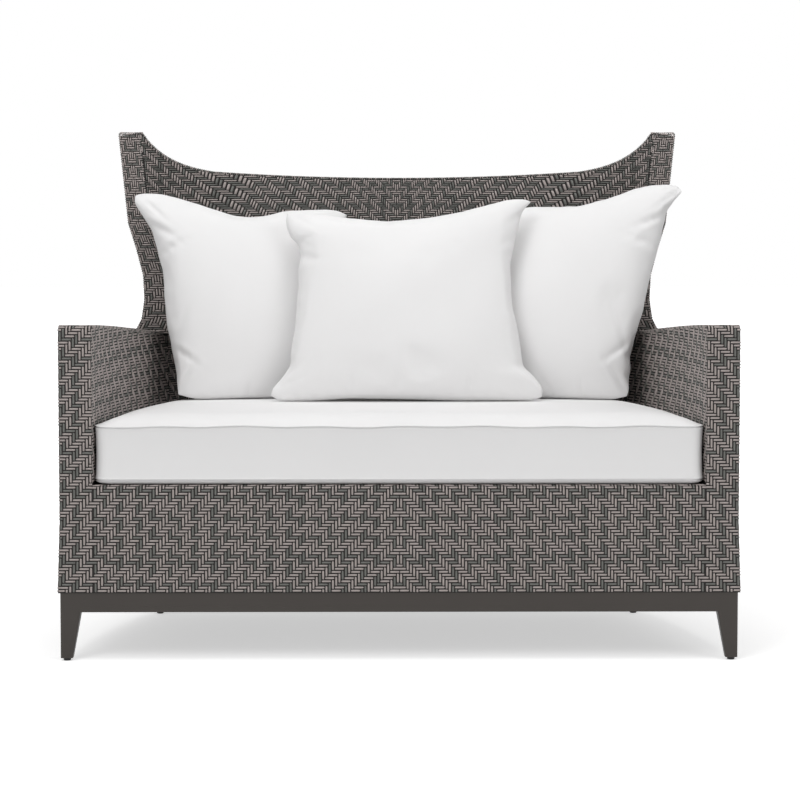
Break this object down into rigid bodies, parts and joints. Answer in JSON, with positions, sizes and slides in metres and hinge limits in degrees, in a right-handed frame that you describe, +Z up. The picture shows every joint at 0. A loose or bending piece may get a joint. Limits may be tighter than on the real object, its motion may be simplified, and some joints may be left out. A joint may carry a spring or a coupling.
{
  "type": "outdoor loveseat",
  "caption": "High-backed wing loveseat for a patio: woven strand skins over a tube frame on short tapered legs, with a box seat cushion and loose back pillows.",
  "frame": {"origin": "middle of the bounding box in plan, on the floor under the glides", "axes": "+X to the right seen from the front, -Y to the front of the seat, +Z up"},
  "size_m": [1.444, 0.8579, 1.135],
  "materials": {
    "woven_strand": "satin",
    "frame": "satin",
    "glide": "matte",
    "webbing": "matte",
    "cushion_cover": "matte",
    "cushion_fill": "matte",
    "zip": "matte"
  },
  "bodies": {
    "frame": {"back_lumbar_rail": "frame", "back_top_hoop": "frame", "back_weave": "woven_strand", "base_front_rail": "frame", "base_left_rail": "frame", "base_rear_rail": "frame", "base_right_rail": "frame", "front_left_glide": "glide", "front_left_leg": "frame", "front_right_glide": "glide", "front_right_leg": "frame", "front_weave": "woven_strand", "left_arm_tube": "frame", "left_arm_weave": "woven_strand", "left_back_post": "frame", "left_wing_post": "frame", "rear_left_glide": "glide", "rear_left_leg": "frame", "rear_right_glide": "glide", "rear_right_leg": "frame", "right_arm_tube": "frame", "right_arm_weave": "woven_strand", "right_back_post": "frame", "right_wing_post": "frame", "seat_centre_cross_bar": "frame", "seat_front_rail": "frame", "seat_left_cross_bar": "frame", "seat_left_rail": "frame", "seat_rear_rail": "frame", "seat_right_cross_bar": "frame", "seat_right_rail": "frame", "seat_webbing": "webbing"},
    "seat_cushion": {"seat_cushion_core": "cushion_fill", "seat_cushion_cover": "cushion_cover", "seat_cushion_zip": "zip"},
    "left_pillow": {"left_pillow_core": "cushion_fill", "left_pillow_cover": "cushion_cover", "left_pillow_zip": "zip"},
    "centre_pillow": {"centre_pillow_core": "cushion_fill", "centre_pillow_cover": "cushion_cover", "centre_pillow_zip": "zip"},
    "right_pillow": {"right_pillow_core": "cushion_fill", "right_pillow_cover": "cushion_cover", "right_pillow_zip": "zip"}
  },
  "joints": [
    {"name": "seat_cushion_lift", "type": "slide", "parent": "frame", "child": "seat_cushion", "axis": [0, -0.7071, 0.7071], "range_m": [0, 0.6]},
    {"name": "left_pillow_lift", "type": "slide", "parent": "seat_cushion", "child": "left_pillow", "axis": [0.0469, 0.25, 0.9671], "range_m": [0, 0.45]},
    {"name": "centre_pillow_lift", "type": "slide", "parent": "seat_cushion", "child": "centre_pillow", "axis": [0, 0.2334, 0.9724], "range_m": [0, 0.45]},
    {"name": "right_pillow_lift", "type": "slide", "parent": "seat_cushion", "child": "right_pillow", "axis": [-0.0469, 0.25, 0.9671], "range_m": [0, 0.45]}
  ]
}
